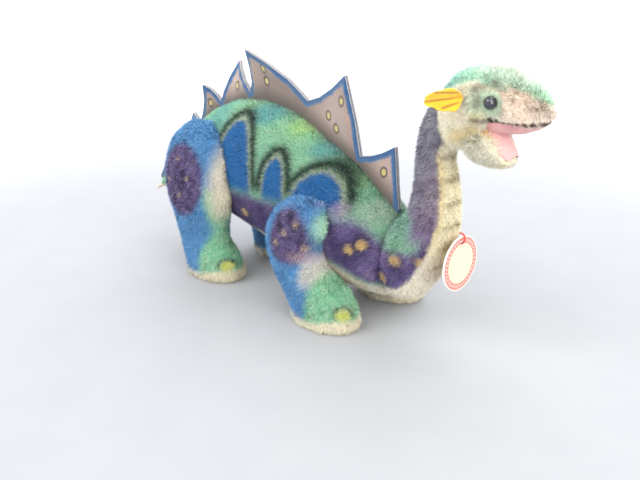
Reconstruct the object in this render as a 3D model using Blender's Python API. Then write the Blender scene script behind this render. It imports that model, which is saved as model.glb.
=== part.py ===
# Stuffed dinosaur of airbrushed mohair, firmly filled, with a standing felt crest along its back.
# It stands on z = 0 and faces +X. Outlines are drawn in millimetres at the drawn size below and
# then scaled to the toy's own length, width and height, so cloth and felt keep their thickness.

import math

import bmesh
import bpy
from mathutils import Matrix, Vector

# The toy's overall size, nose to tail tip, over the thighs and floor to crown.
TOY_LENGTH = 0.320
TOY_WIDTH = 0.092
TOY_HEIGHT = 0.144
DRAWN_SIZE = (320.0, 92.0, 144.0)

# Sheet materials and the space that neighbouring pieces keep.
CLOTH = 0.0016
FELT = 0.0012
SEAM = 0.0003

# Pieces with a size of their own.
SOLE_THICKNESS = 0.0030
CREST_HEIGHT = 0.0434
EYE_DIAMETER = 0.0062
EYE_SHANK = 0.0012
EYE_SHANK_LENGTH = 0.0060
EAR_LENGTH = 0.0185
EAR_WIDTH = 0.0066
TAG_DIAMETER = 0.029
TAG_THICKNESS = 0.0008
TAG_HOLE = 0.0036
TAG_RIM = 0.0020
THREAD = 0.0009

BODY_SIDES = 20
LEG_SIDES = 16

# Colours as linear RGB, with a roughness.
COLOURS = {
    "green_mohair": ((0.14, 0.38, 0.25), 0.95),
    "cream_mohair": ((0.69, 0.61, 0.42), 0.95),
    "grey_mohair": ((0.16, 0.15, 0.21), 0.95),
    "mint_mohair": ((0.42, 0.66, 0.50), 0.95),
    "wood_wool": ((0.60, 0.42, 0.22), 1.0),
    "taupe_felt": ((0.30, 0.22, 0.18), 1.0),
    "yellow_felt": ((1.0, 0.60, 0.03), 1.0),
    "pink_felt": ((0.91, 0.43, 0.43), 1.0),
    "black_glass": ((0.010, 0.011, 0.020), 0.05),
    "card": ((0.83, 0.78, 0.62), 0.6),
    "thread": ((0.75, 0.10, 0.09), 0.8),
}

# Cross-sections: the upper (or rear) and lower (or front) point of each in side view, as x, z, x, z,
# then its half width and, off the middle, how far out its centre lies.
BODY_OUTLINE = [
    (82, 64, 82, 16, 20),
    (70, 72, 70, 14.5, 23),
    (52, 86, 52, 14, 26),
    (29, 97, 29, 17, 27.5),
    (5, 108.5, 5, 21.5, 28),
    (-22, 114, -22, 26, 28),
    (-46, 113, -46, 31, 27),
    (-70, 105, -70, 37, 24),
    (-90, 92, -90, 42, 18.5),
    (-110, 75, -110, 42.5, 13),
    (-130, 58, -130, 38, 8.5),
    (-148, 43.5, -148, 32.5, 5),
    (-160, 35.5, -160, 28.5, 3.2),
]
NECK_OUTLINE = [
    (82, 64, 82, 16, 20),
    (86, 65.5, 95, 19, 20),
    (89, 69, 104, 30, 17.5),
    (90.5, 75, 111.5, 44, 15),
    (91, 84, 117, 62, 12.6),
    (90.5, 94, 116, 82, 10.8),
    (90.5, 103, 112, 98, 9.8),
    (93, 113, 112.5, 102.5, 9.8),
    (99, 124, 114.5, 104.8, 10.5),
    (107, 132, 117, 105.8, 12),
]
HEAD_OUTLINE = [
    (107, 132, 117, 105.8, 12),
    (114, 139.5, 121, 107, 15),
    (122, 143.3, 127, 110, 16.5),
    (132, 144, 133, 115, 16.3),
    (142, 142, 141, 116.5, 14.8),
    (150, 138, 149.5, 116, 12),
    (156.5, 133, 156.5, 117.5, 8.5),
    (160, 129, 160, 121, 4),
]
JAW_OUTLINE = [
    (128, 121, 117, 107, 11),
    (134, 117.5, 122, 104, 12),
    (138.5, 112, 129, 101.5, 10.5),
    (142.5, 107, 136, 99, 8.2),
    (145, 103.5, 141.5, 98.5, 5.2),
]
FRONT_LEG_OUTLINE = [
    (21, 69, 40, 74, 8, 20),
    (12, 61, 51, 68, 13.5, 24),
    (7, 50, 56, 57, 15.5, 27),
    (8, 38, 51, 46, 14.5, 29),
    (12, 27, 51, 36, 13.3, 29),
    (17, 19, 58, 28, 13.3, 29),
    (23, 11, 71, 20, 14.3, 28.5),
    (29, 5, 76, 9, 15.2, 28),
]
HIND_LEG_OUTLINE = [
    (-76, 97, -50, 99, 9, 20),
    (-88, 86, -36, 90, 15, 25),
    (-92, 68, -29, 72, 17, 28.5),
    (-88, 50, -28, 54, 16, 30),
    (-81, 34, -34, 38, 14, 30),
    (-77, 20, -36, 25, 13.5, 29.5),
    (-75, 10, -27, 16, 15, 29),
    (-72, 5, -24, 8, 15.6, 28.5),
]
FRONT_SOLE = (32, 74, 15, 28)
HIND_SOLE = (-70, -26, 15.4, 28.5)

# Crest spikes from neck to tail: x and height of the notch before it, x and height of its tip, and how
# far the tip leans to the left. Heights are shares of the tallest spike, above the back.
CREST_SPIKES = [
    (80, 0.04, 74.5, 0.67, 2),
    (52, 0.09, 44.5, 1.00, -5),
    (11, 0.23, -33, 0.66, -9),
    (-40, 0.05, -61, 0.58, 9),
    (-70.5, 0.05, -84, 0.48, -5),
    (-95, 0.05, -106, 0.39, 4),
    (-115, 0.04, -124.5, 0.30, -2),
    (-133, 0.04, -140.5, 0.20, 1),
]
CREST_END = (-150, 0.03)
FRONT_SWELL = 0.05
REAR_HOLLOW = 0.07

MOUTH_START = 3
EYE_PLACE = (138, 14.0, 129.5)
EAR_PLACE = (126, 17.4, 131.5)
EAR_TURN = math.radians(44)
EAR_ROLL = math.radians(-14)
EAR_FOLD = math.radians(62)
# The tag hangs this share of the way from one neck section to the next.
TAG_SECTION = 3
TAG_SHARE = 0.7
TAG_STANDOFF = 0.0045


def scaled(x, y, z):
    sizes = (TOY_LENGTH, TOY_WIDTH, TOY_HEIGHT)
    return Vector(value * size / drawn for value, size, drawn in zip((x, y, z), sizes, DRAWN_SIZE))


def make_material(name):
    colour, roughness = COLOURS[name]
    material = bpy.data.materials.new(name)
    material.use_nodes = True
    shader = material.node_tree.nodes["Principled BSDF"]
    shader.inputs["Base Color"].default_value = (*colour, 1)
    shader.inputs["Roughness"].default_value = roughness
    return material


def add_object(name, mesh_data, material):
    obj = bpy.data.objects.new(name, mesh_data)
    bpy.context.collection.objects.link(obj)
    obj.data.materials.append(materials[material])
    return obj


def finish_mesh(bm, name, material):
    bmesh.ops.recalc_face_normals(bm, faces=bm.faces)
    if bm.calc_volume(signed=True) < 0:
        bmesh.ops.reverse_faces(bm, faces=bm.faces)
    mesh = bpy.data.meshes.new(name)
    bm.to_mesh(mesh)
    bm.free()
    return add_object(name, mesh, material)


# A section is its centre, the vector to its upper point and its half width.
def read_outline(outline, side=0):
    sections = []
    for xa, za, xb, zb, half_width, *out in outline:
        y = side * out[0] if out else 0
        upper = scaled(xa, y, za)
        lower = scaled(xb, y, zb)
        width = scaled(0, half_width, 0).y
        sections.append(((upper + lower) / 2, (upper - lower) / 2, width))
    return sections


# Points round a section from its upper point, by way of the right side. A negative offset lies inside.
def ring_points(section, sides, offset):
    centre, up, width = section
    reach = up.normalized() * (up.length + offset)
    out = Vector((0, -(width + offset), 0))
    turns = [2 * math.pi * k / sides for k in range(sides)]
    return [centre + reach * math.cos(turn) + out * math.sin(turn) for turn in turns]


def add_core(name, sections, sides, offset, material):
    bm = bmesh.new()
    rings = [[bm.verts.new(p) for p in ring_points(s, sides, offset)] for s in sections]
    for ring, following in zip(rings, rings[1:]):
        for k in range(sides):
            after = (k + 1) % sides
            bm.faces.new((ring[k], ring[after], following[after], following[k]))
    bm.faces.new(rings[0])
    bm.faces.new(rings[-1])
    return finish_mesh(bm, name, material)


# Faces for two equal grids of points and for the wall round their edges.
def close_sheet(bm, grids):
    outer, inner = grids
    rows = len(outer) - 1
    columns = len(outer[0]) - 1
    for i in range(rows):
        for k in range(columns):
            for grid in grids:
                bm.faces.new((grid[i][k], grid[i][k + 1], grid[i + 1][k + 1], grid[i + 1][k]))
        for k in (0, -1):
            bm.faces.new((outer[i][k], outer[i + 1][k], inner[i + 1][k], inner[i][k]))
    for i in (0, -1):
        for k in range(columns):
            bm.faces.new((outer[i][k], outer[i][k + 1], inner[i][k + 1], inner[i][k]))


# One strip of cloth between two seams, running from column first to column last of the sections.
def add_strip(name, sections, sides, outside, inside, first, last, seams, material):
    bm = bmesh.new()
    layers = []
    for offset in (outside, inside):
        rows = []
        for section in sections:
            ring = ring_points(section, sides, offset)
            row = [ring[k % sides].copy() for k in range(first, last + 1)]
            row[0] += (row[1] - row[0]).normalized() * seams[0]
            row[-1] += (row[-2] - row[-1]).normalized() * seams[1]
            rows.append([bm.verts.new(point) for point in row])
        layers.append(rows)
    close_sheet(bm, layers)
    return finish_mesh(bm, name, material)


# A sleeve of cloth all round the sections, open at both ends.
def add_sleeve(name, sections, sides, material):
    bm = bmesh.new()
    layers = []
    for offset in (0, -CLOTH):
        rings = [[bm.verts.new(p) for p in ring_points(s, sides, offset)] for s in sections]
        layers.append(rings)
    outer, inner = layers
    for k in range(sides):
        after = (k + 1) % sides
        for rings in layers:
            for ring, following in zip(rings, rings[1:]):
                bm.faces.new((ring[k], ring[after], following[after], following[k]))
        for i in (0, -1):
            bm.faces.new((outer[i][k], outer[i][after], inner[i][after], inner[i][k]))
    return finish_mesh(bm, name, material)


def hide_cutter(obj):
    obj.hide_render = True
    obj.display_type = "WIRE"
    return obj


def cut(obj, cutter):
    modifier = obj.modifiers.new("Cut", "BOOLEAN")
    modifier.operation = "DIFFERENCE"
    modifier.object = cutter


# Moves the first section forward so that its ring keeps a seam's width from the piece behind it.
def stand_clear(sections):
    centre, up, width = sections[0]
    across = Vector((up.z, 0, -up.x)).normalized()
    return [(centre + across * SEAM, up, width)] + sections[1:]


def make_body():
    sections = read_outline(BODY_OUTLINE)
    half = BODY_SIDES // 2
    gusset = 2
    crest_slot = FELT + 1.5 * SEAM
    right_seams = (crest_slot, SEAM / 2)
    left_seams = (SEAM / 2, crest_slot)
    strips = [
        ("body_panel_right", 0, half - gusset, right_seams, "green_mohair"),
        ("body_panel_left", half + gusset, BODY_SIDES, left_seams, "green_mohair"),
        ("belly_gusset", half - gusset, half + gusset, (SEAM / 2, SEAM / 2), "cream_mohair"),
    ]
    for name, first, last, seams, material in strips:
        add_strip(name, sections, BODY_SIDES, 0, -CLOTH, first, last, seams, material)
    add_core("body_stuffing", sections, BODY_SIDES, -CLOTH - SEAM, "wood_wool")
    return hide_cutter(add_core("body_cutter", sections, BODY_SIDES, SEAM, "wood_wool"))


def make_neck():
    sections = stand_clear(read_outline(NECK_OUTLINE))
    half = BODY_SIDES // 2
    gusset = 3
    seams = (SEAM / 2, SEAM / 2)
    strips = [
        ("neck_panel_right", 0, half - gusset, "grey_mohair"),
        ("neck_panel_left", half + gusset, BODY_SIDES, "grey_mohair"),
        ("throat_gusset", half - gusset, half + gusset, "cream_mohair"),
    ]
    for name, first, last, material in strips:
        add_strip(name, sections, BODY_SIDES, 0, -CLOTH, first, last, seams, material)
    add_core("neck_stuffing", sections, BODY_SIDES, -CLOTH - SEAM, "wood_wool")
    return sections


def make_head():
    sections = stand_clear(read_outline(HEAD_OUTLINE))
    half = BODY_SIDES // 2
    cap = 3
    seams = (SEAM / 2, SEAM / 2)
    add_strip("head_cap", sections, BODY_SIDES, 0, -CLOTH, -cap, cap, seams, "mint_mohair")
    faces = [
        add_strip("face_right", sections, BODY_SIDES, 0, -CLOTH, cap, half, seams, "cream_mohair"),
        add_strip(
            "face_left", sections, BODY_SIDES, 0, -CLOTH, half, BODY_SIDES - cap, seams, "cream_mohair"
        ),
    ]
    stuffing = add_core("head_stuffing", sections, BODY_SIDES, -CLOTH - SEAM, "wood_wool")
    roof = 3
    add_strip(
        "mouth_roof_felt",
        sections[MOUTH_START:],
        BODY_SIDES,
        SEAM + FELT,
        SEAM,
        half - roof,
        half + roof,
        (0, 0),
        "pink_felt",
    )
    cutter = hide_cutter(
        add_core("head_cutter", sections, BODY_SIDES, 2 * SEAM + FELT, "wood_wool")
    )
    return faces, stuffing, cutter


def make_jaw(head_cutter):
    sections = read_outline(JAW_OUTLINE)
    tongue = 4
    pieces = [
        add_sleeve("jaw_skin", sections, BODY_SIDES, "cream_mohair"),
        add_core("jaw_stuffing", sections, BODY_SIDES, -CLOTH - SEAM, "wood_wool"),
        add_strip(
            "mouth_floor_felt",
            sections,
            BODY_SIDES,
            SEAM + FELT,
            SEAM,
            -tongue,
            tongue,
            (0, 0),
            "pink_felt",
        ),
    ]
    for piece in pieces:
        cut(piece, head_cutter)


# A glass ball with a wire shank that holds it in the stuffing, turned about its own axis.
def add_eye(name, place, side, extra, material):
    ball = EYE_DIAMETER / 2 + extra
    wire = EYE_SHANK / 2 + extra
    last_turn = math.pi - math.asin(wire / ball)
    steps = 9
    turns = [last_turn * k / steps for k in range(steps + 1)]
    profile = [Vector((ball * math.sin(turn), 0, ball * math.cos(turn))) for turn in turns]
    tip = -EYE_DIAMETER / 2 - EYE_SHANK_LENGTH - extra
    profile += [Vector((wire, 0, tip)), Vector((0, 0, tip))]
    bm = bmesh.new()
    verts = [bm.verts.new(point) for point in profile]
    edges = [bm.edges.new(pair) for pair in zip(verts, verts[1:])]
    bmesh.ops.spin(
        bm,
        geom=verts + edges,
        cent=(0, 0, 0),
        axis=(0, 0, 1),
        angle=2 * math.pi,
        steps=14,
        use_merge=True,
    )
    bmesh.ops.remove_doubles(bm, verts=bm.verts, dist=0.00001)
    eye = finish_mesh(bm, name, material)
    eye.location = place
    eye.rotation_euler = (side * math.radians(-90), 0, 0)
    return eye


def make_ear(name, side):
    steps = 6
    columns = (-1.0, -0.55, 0.0, 0.55, 1.0)
    bm = bmesh.new()
    rows = []
    for i in range(steps + 1):
        share = i / steps
        spread = EAR_WIDTH * (0.22 + 0.95 * math.sin(math.pi * min(share, 0.96)) ** 0.7)
        row = []
        for column in columns:
            fold = -EAR_FOLD / 2 if column > 0 else EAR_FOLD / 2
            across = abs(column) * spread * (0.9 if column < 0 else 1.0)
            rise = math.copysign(across * math.cos(fold), column)
            row.append(bm.verts.new((-share * EAR_LENGTH, across * math.sin(abs(fold)), rise)))
        rows.append(row)
    for row, following in zip(rows, rows[1:]):
        for k in range(len(columns) - 1):
            bm.faces.new((row[k], row[k + 1], following[k + 1], following[k]))
    ear = finish_mesh(bm, name, "yellow_felt")
    solidify = ear.modifiers.new("Felt", "SOLIDIFY")
    solidify.thickness = FELT
    solidify.offset = 0
    ear.location = scaled(EAR_PLACE[0], side * EAR_PLACE[1], EAR_PLACE[2])
    ear.rotation_euler = (0, EAR_ROLL, -side * EAR_TURN)
    ear.scale = (1, side, 1)
    return ear


def make_leg(name, outline, sole, side, body_cutter):
    sections = read_outline(outline, side)
    heel, toe, half_width, out = sole
    rest = []
    for height in (SOLE_THICKNESS + SEAM, SOLE_THICKNESS, 0):
        back = scaled(heel, side * out, 0)
        front = scaled(toe, side * out, 0)
        lift = Vector((0, 0, height))
        rest.append(((back + front) / 2 + lift, (back - front) / 2, scaled(0, half_width, 0).y))
    sections.append(rest[0])
    skin = add_sleeve(f"{name}_skin", sections, LEG_SIDES, "green_mohair")
    stuffing = add_core(f"{name}_stuffing", sections, LEG_SIDES, -CLOTH - SEAM, "wood_wool")
    add_core(f"{name}_sole", rest[1:], LEG_SIDES, 0, "cream_mohair")
    for piece in (skin, stuffing):
        cut(piece, body_cutter)


# Height of the back seam at x, along the facets of the body.
def back_height(x):
    tops = [centre + up for centre, up, _ in read_outline(BODY_OUTLINE)]
    for ahead, behind in zip(tops, tops[1:]):
        if behind.x <= x <= ahead.x:
            share = (x - behind.x) / (ahead.x - behind.x)
            return behind.z + (ahead.z - behind.z) * share
    return tops[-1].z


# Points between two corners of the crest, with the middle raised by a share of the distance.
def bowed_run(start, end, bow, steps):
    lift = (end - start).length * bow
    shares = [k / steps for k in range(steps)]
    return [start.lerp(end, t) + Vector((0, 0, lift * math.sin(math.pi * t))) for t in shares]


# The crest's free edge in side view, and each corner's x with how far the felt leans there.
def crest_edge():
    ends = [spike[:2] for spike in CREST_SPIKES[1:]] + [CREST_END]
    edge = []
    leans = []
    for (notch_x, notch_share, tip_x, tip_share, lean), end in zip(CREST_SPIKES, ends):
        corners = []
        for drawn_x, share in ((notch_x, notch_share), (tip_x, tip_share), end):
            x = scaled(drawn_x, 0, 0).x
            corners.append(Vector((x, 0, back_height(x) + share * CREST_HEIGHT)))
        edge += bowed_run(corners[0], corners[1], FRONT_SWELL, 3)
        edge += bowed_run(corners[1], corners[2], -REAR_HOLLOW, 3)
        leans += [(corners[0].x, 0), (corners[1].x, scaled(0, lean, 0).y)]
    edge.append(corners[2])
    leans.append((corners[2].x, 0))
    return edge, leans


def between(points, x):
    for (x0, value0), (x1, value1) in zip(points, points[1:]):
        if x1 <= x <= x0:
            return value0 + (value1 - value0) * (x0 - x) / (x0 - x1)
    return points[-1][1]


# Two layers of felt, whose foot is caught in the back seam and whose tips lean to either side.
def make_crest():
    edge, leans = crest_edge()
    heights = [(point.x, point.z) for point in edge]
    corners = [(centre + up).x for centre, up, _ in read_outline(BODY_OUTLINE)]
    columns = {point.x for point in edge} | {x for x in corners if edge[-1].x < x < edge[0].x}
    rows = 2
    for name, near in (("crest_felt_right", -1), ("crest_felt_left", 1)):
        bm = bmesh.new()
        faces = []
        for offset in (SEAM / 2, SEAM / 2 + FELT):
            grid = []
            for x in sorted(columns, reverse=True):
                seam = back_height(x)
                top = between(heights, x)
                column = [bm.verts.new((x, near * offset, seam - CLOTH))]
                for row in range(rows + 1):
                    height = SEAM + (top - seam - SEAM) * row / rows
                    reach = (height - SEAM) / CREST_HEIGHT
                    lean = between(leans, x) * min(1, reach * 2) ** 2
                    column.append(bm.verts.new((x, near * offset + lean, seam + height)))
                grid.append(column)
            faces.append(grid)
        close_sheet(bm, faces)
        finish_mesh(bm, name, "taupe_felt")


# A round card that hangs in front of the chest on a loop of thread. The loop's lower strand runs
# through the card's hole, and its upper strand runs back over the card's rim to the chest.
def make_tag(neck_sections):
    fronts = [centre - up for centre, up, _ in neck_sections]
    below, above = fronts[TAG_SECTION : TAG_SECTION + 2]
    chest = below.lerp(above, TAG_SHARE)
    lean = (above.x - below.x) / (above.z - below.z)
    hang = chest + Vector((TAG_STANDOFF, 0, 0))
    radius = TAG_DIAMETER / 2
    hole = TAG_HOLE / 2
    strand = THREAD / 2
    turn = Matrix.Rotation(math.pi / 2, 4, "Y")
    drop = Matrix.Translation((0, 0, hole + TAG_RIM - radius))
    card = add_disc("tag_card", radius, TAG_THICKNESS, 32, drop @ turn)
    hole_cutter = hide_cutter(add_disc("tag_hole_cutter", hole, 3 * TAG_THICKNESS, 12, turn))
    for piece in (card, hole_cutter):
        piece.location = hang
    cut(card, hole_cutter)

    over = hole + TAG_RIM + strand + 3 * SEAM
    clear = strand + 3 * SEAM
    knot = clear - TAG_STANDOFF
    front = TAG_THICKNESS / 2 + clear
    route = [
        (knot, 0),
        (knot / 2, 0),
        (0, 0),
        (front * 0.7, over * 0.12),
        (front, over * 0.5),
        (front * 0.7, over * 0.88),
        (0, over),
        (knot + lean * over, over),
    ]
    curve = bpy.data.curves.new("tag_thread", "CURVE")
    curve.dimensions = "3D"
    curve.bevel_depth = strand
    curve.bevel_resolution = 2
    curve.use_fill_caps = True
    spline = curve.splines.new("POLY")
    spline.points.add(len(route) - 1)
    for point, (x, z) in zip(spline.points, route):
        point.co = (x, 0, z, 1)
    thread = add_object("tag_thread", curve, "thread")
    thread.location = hang


def add_disc(name, radius, thickness, sides, matrix):
    bm = bmesh.new()
    bmesh.ops.create_cone(
        bm,
        cap_ends=True,
        segments=sides,
        radius1=radius,
        radius2=radius,
        depth=thickness,
        matrix=matrix,
    )
    return finish_mesh(bm, name, "card")


for obj in list(bpy.data.objects):
    bpy.data.objects.remove(obj)
materials = {name: make_material(name) for name in COLOURS}

body_cutter = make_body()
neck_sections = make_neck()
faces, head_stuffing, head_cutter = make_head()
make_jaw(head_cutter)
make_crest()
for side, hand in ((-1, "right"), (1, "left")):
    make_leg(f"front_leg_{hand}", FRONT_LEG_OUTLINE, FRONT_SOLE, side, body_cutter)
    make_leg(f"hind_leg_{hand}", HIND_LEG_OUTLINE, HIND_SOLE, side, body_cutter)
    eye_place = scaled(EYE_PLACE[0], side * EYE_PLACE[1], EYE_PLACE[2])
    add_eye(f"eye_{hand}", eye_place, side, 0, "black_glass")
    socket = hide_cutter(add_eye(f"eye_socket_{hand}", eye_place, side, SEAM, "black_glass"))
    cut(faces[0 if side < 0 else 1], socket)
    cut(head_stuffing, socket)
    make_ear(f"ear_{hand}", side)
make_tag(neck_sections)
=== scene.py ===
import math

import bmesh
import bpy
import numpy as np
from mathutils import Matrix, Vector
from mathutils.bvhtree import BVHTree


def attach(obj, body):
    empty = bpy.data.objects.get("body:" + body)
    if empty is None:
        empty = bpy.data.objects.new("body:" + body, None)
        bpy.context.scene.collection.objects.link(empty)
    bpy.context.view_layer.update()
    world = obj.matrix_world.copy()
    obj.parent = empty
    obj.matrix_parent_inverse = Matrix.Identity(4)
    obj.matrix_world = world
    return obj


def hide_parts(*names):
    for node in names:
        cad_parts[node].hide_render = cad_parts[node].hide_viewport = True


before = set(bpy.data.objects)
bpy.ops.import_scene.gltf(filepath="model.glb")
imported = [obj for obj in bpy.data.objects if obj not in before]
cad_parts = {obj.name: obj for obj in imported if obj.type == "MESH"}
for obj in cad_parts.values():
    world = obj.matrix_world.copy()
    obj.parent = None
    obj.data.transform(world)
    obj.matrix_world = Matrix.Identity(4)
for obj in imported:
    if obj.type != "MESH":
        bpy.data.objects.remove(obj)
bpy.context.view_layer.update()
print("frame loaded")

# Lengths in the dictionaries are millimetres unless a note says otherwise.
mm = 0.001
scene = bpy.context.scene
scene.view_settings.view_transform = "Standard"


# Camera, floor and light.
camera = {"place": (299, -279, 175), "heading": 135, "down": 19.8, "lens": 38.9}


def makeCamera(look):
    data = bpy.data.cameras.new("camera")
    data.lens = look["lens"]
    data.sensor_width = 36
    data.clip_start = 0.01
    obj = bpy.data.objects.new("camera", data)
    scene.collection.objects.link(obj)
    obj.location = Vector(look["place"]) * mm
    obj.rotation_mode = "QUATERNION"
    heading, down = math.radians(look["heading"]), math.radians(look["down"])
    way = (math.cos(heading) * math.cos(down), math.sin(heading) * math.cos(down), -math.sin(down))
    obj.rotation_quaternion = Vector(way).to_track_quat("-Z", "Y")
    scene.camera = obj


makeCamera(camera)


# Small helpers.
def linear(hexColour):
    values = [int(hexColour[i:i + 2], 16) / 255 for i in (0, 2, 4)]
    return np.array([v / 12.92 if v <= 0.04045 else ((v + 0.055) / 1.055) ** 2.4 for v in values])


def rgba(hexColour):
    return (*linear(hexColour), 1.0)


def addNode(tree, kind, inputs=None, **settings):
    node = tree.nodes.new("ShaderNode" + kind)
    for key, value in settings.items():
        setattr(node, key, value)
    for key, value in (inputs or {}).items():
        if isinstance(value, bpy.types.NodeSocket):
            tree.links.new(value, node.inputs[key])
        else:
            node.inputs[key].default_value = value
    return node


def newMaterial(name, **uniform):
    material = bpy.data.materials.new(name)
    material.use_nodes = True
    shader = material.node_tree.nodes["Principled BSDF"]
    for key, value in uniform.items():
        shader.inputs[key.replace("_", " ")].default_value = value
    return material, material.node_tree, shader


def newObject(name, mesh, material):
    obj = bpy.data.objects.new(name, mesh)
    scene.collection.objects.link(obj)
    mesh.materials.clear()
    mesh.materials.append(material)
    return obj


def readPoints(mesh):
    points = np.empty(len(mesh.vertices) * 3, np.float32)
    mesh.vertices.foreach_get("co", points)
    return points.reshape(-1, 3).astype(float)


def readNormals(mesh):
    normals = np.empty(len(mesh.vertices) * 3, np.float32)
    mesh.vertex_normals.foreach_get("vector", normals)
    return normals.reshape(-1, 3).astype(float)


def writePoints(mesh, points):
    mesh.vertices.foreach_set("co", points.astype(np.float32).ravel())
    mesh.update()


def meshTree(mesh):
    faces = [tuple(p.vertices) for p in mesh.polygons]
    return BVHTree.FromPolygons(readPoints(mesh).tolist(), faces)


def nodeTree(name):
    return meshTree(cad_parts[name].data)


def distances(tree, points):
    return np.array([tree.find_nearest(p)[3] for p in points.tolist()])


def unit(vectors):
    return vectors / np.maximum(np.linalg.norm(vectors, axis=-1, keepdims=True), 1e-9)


# Airbrush helpers, which work on many points at once.
def rise(values, low, high):
    share = np.clip((values - low) / (high - low), 0, 1)
    return share * share * (3 - 2 * share)


def bump(values, centre, width):
    return np.exp(-(((values - centre) / width) ** 2))


def wobble(points, size, seed):
    # A smooth random field from -1 to 1 whose patches are about size across.
    rng = np.random.default_rng(seed)
    total = np.zeros(len(points))
    for _ in range(9):
        way = rng.normal(size=3)
        way *= rng.uniform(0.6, 1.5) / np.linalg.norm(way) * 2 * math.pi / (2 * size)
        total += np.sin(points @ way + rng.uniform(0, 6.28))
    return np.clip(total / 4.2, -1, 1)


def lineDistance(flat, line):
    best = np.full(len(flat), 1e9)
    for start, end in zip(line[:-1], line[1:]):
        start, way = np.array(start, float), np.array(end, float) - np.array(start, float)
        along = np.clip(((flat - start) @ way) / (way @ way), 0, 1)
        best = np.minimum(best, np.linalg.norm(flat - start - along[:, None] * way, axis=1))
    return best


def ovalDepth(flat, centre, radii):
    # Distance to an oval's rim, positive inside it.
    offset, radii = flat - np.array(centre, float), np.array(radii, float)
    reach = np.maximum(np.linalg.norm(offset / radii, axis=1), 1e-6)
    return (1 - reach) * reach / np.maximum(np.linalg.norm(offset / radii ** 2, axis=1), 1e-6)


def ovalDistance(flat, centre, radii):
    # 1 on the oval's rim, 0 at its centre.
    return np.linalg.norm((flat - np.array(centre, float)) / np.array(radii, float), axis=1)


def tint(colour, hexColour, share):
    return colour + (linear(hexColour) - colour) * np.clip(share, 0, 1)[:, None]


def spray(colour, flat, hexColour, centre, radii, share):
    mist = 1 - rise(ovalDistance(flat, centre, radii), 0.35, 1.25)
    return tint(colour, hexColour, share * mist)


def sprayClouds(colour, flat, look):
    for tone, centre, radii, share in look["clouds"]:
        colour = spray(colour, flat, look[tone], centre, radii, share)
    return colour


# Finishes.
def addNoise(tree, place, scale, detail=2.0, roughness=0.5):
    return addNode(tree, "TexNoise", {"Vector": place.outputs["Object"], "Scale": scale,
                                      "Detail": detail, "Roughness": roughness})


def remap(tree, value, source, target, **settings):
    return addNode(tree, "MapRange", {"Value": value, "From Min": source[0], "From Max": source[1],
                                      "To Min": target[0], "To Max": target[1]}, **settings)


def scaled(tree, colour, share):
    return addNode(tree, "VectorMath", {0: colour, "Scale": share}, operation="SCALE")


def mixed(tree, share, first, second):
    return addNode(tree, "Mix", {"Factor": share, "A": first, "B": second}, data_type="RGBA")


def makePile():
    # Mohair plush: slightly lustrous goat-hair pile, with painted shade darkening it down at its
    # roots.
    material, tree, shader = newMaterial(
        "mohairPile", Roughness=0.68, Sheen_Weight=0.12, Sheen_Roughness=0.45, IOR=1.45,
        Specular_IOR_Level=0.25)
    paint = addNode(tree, "Attribute", attribute_name="paint")
    height = addNode(tree, "Attribute", attribute_name="height")
    place = addNode(tree, "TexCoord")
    # Locks of about 1.3 mm catch the light differently.
    locks = addNoise(tree, place, 760.0, 2.0, 0.6)
    spread = remap(tree, locks.outputs["Fac"], (0.32, 0.68), (0.82, 1.2))
    # Painted shade: each blade darkens from its tip down to its root.
    depth = remap(tree, height.outputs["Fac"], (0, 1), (0.7, 1.12))
    both = addNode(tree, "Math", {0: spread.outputs[0], 1: depth.outputs[0]}, operation="MULTIPLY")
    shade = scaled(tree, paint.outputs["Color"], both.outputs[0])
    tree.links.new(shade.outputs[0], shader.inputs["Base Color"])
    return material


def makeBacking():
    # Woven cotton backing of the plush, dyed through by the airbrush, matt and shaded by its pile.
    material, tree, shader = newMaterial("cottonBacking", Roughness=0.95)
    paint = addNode(tree, "Attribute", attribute_name="paint")
    place = addNode(tree, "TexCoord")
    # The backing's threads are 0.4 mm, drawn 0.9 mm apart so that they show.
    weave = addNoise(tree, place, 1100.0, 3.0)
    # The weave's level also darkens the backing to 0.6-0.92 of its paint: painted shade from the pile
    # above it.
    level = remap(tree, weave.outputs["Fac"], (0, 1), (0.6, 0.92))
    shade = scaled(tree, paint.outputs["Color"], level.outputs[0])
    relief = addNode(tree, "Bump", {"Height": weave.outputs["Fac"], "Strength": 0.6,
                                    "Distance": 0.0005})
    tree.links.new(shade.outputs[0], shader.inputs["Base Color"])
    tree.links.new(relief.outputs[0], shader.inputs["Normal"])
    return material


def makeFelt(name, sheen):
    # Pressed wool felt: matt, with short matted fibres and faint cloudiness.
    material, tree, shader = newMaterial(name, Roughness=0.92, Sheen_Weight=sheen,
                                         Sheen_Roughness=0.6)
    paint = addNode(tree, "Attribute", attribute_name="paint")
    place = addNode(tree, "TexCoord")
    # Fibre tangle at 0.35 mm over clouds of 6 mm.
    fibres = addNoise(tree, place, 2600.0, 4.0, 0.7)
    clouds = addNoise(tree, place, 160.0, 2.0)
    fine = remap(tree, fibres.outputs["Fac"], (0.3, 0.7), (0.84, 1.14))
    broad = remap(tree, clouds.outputs["Fac"], (0.3, 0.7), (0.92, 1.07))
    both = addNode(tree, "Math", {0: fine.outputs[0], 1: broad.outputs[0]}, operation="MULTIPLY")
    shade = scaled(tree, paint.outputs["Color"], both.outputs[0])
    relief = addNode(tree, "Bump", {"Height": fibres.outputs["Fac"], "Strength": 0.5,
                                    "Distance": 0.0003})
    tree.links.new(shade.outputs[0], shader.inputs["Base Color"])
    tree.links.new(relief.outputs[0], shader.inputs["Normal"])
    return material


pile = makePile()
backing = makeBacking()
plainFelt = makeFelt("pressedWoolFelt", 0.3)


# Stuffed covers.
def setAttribute(mesh, name, kind, values):
    attribute = mesh.attributes.new(name, kind, "POINT")
    key = "color" if kind == "FLOAT_COLOR" else "value"
    attribute.data.foreach_set(key, values.astype(np.float32).ravel())


def writePaint(mesh, colour):
    setAttribute(mesh, "paint", "FLOAT_COLOR", np.hstack([colour, np.ones((len(colour), 1))]))


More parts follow.
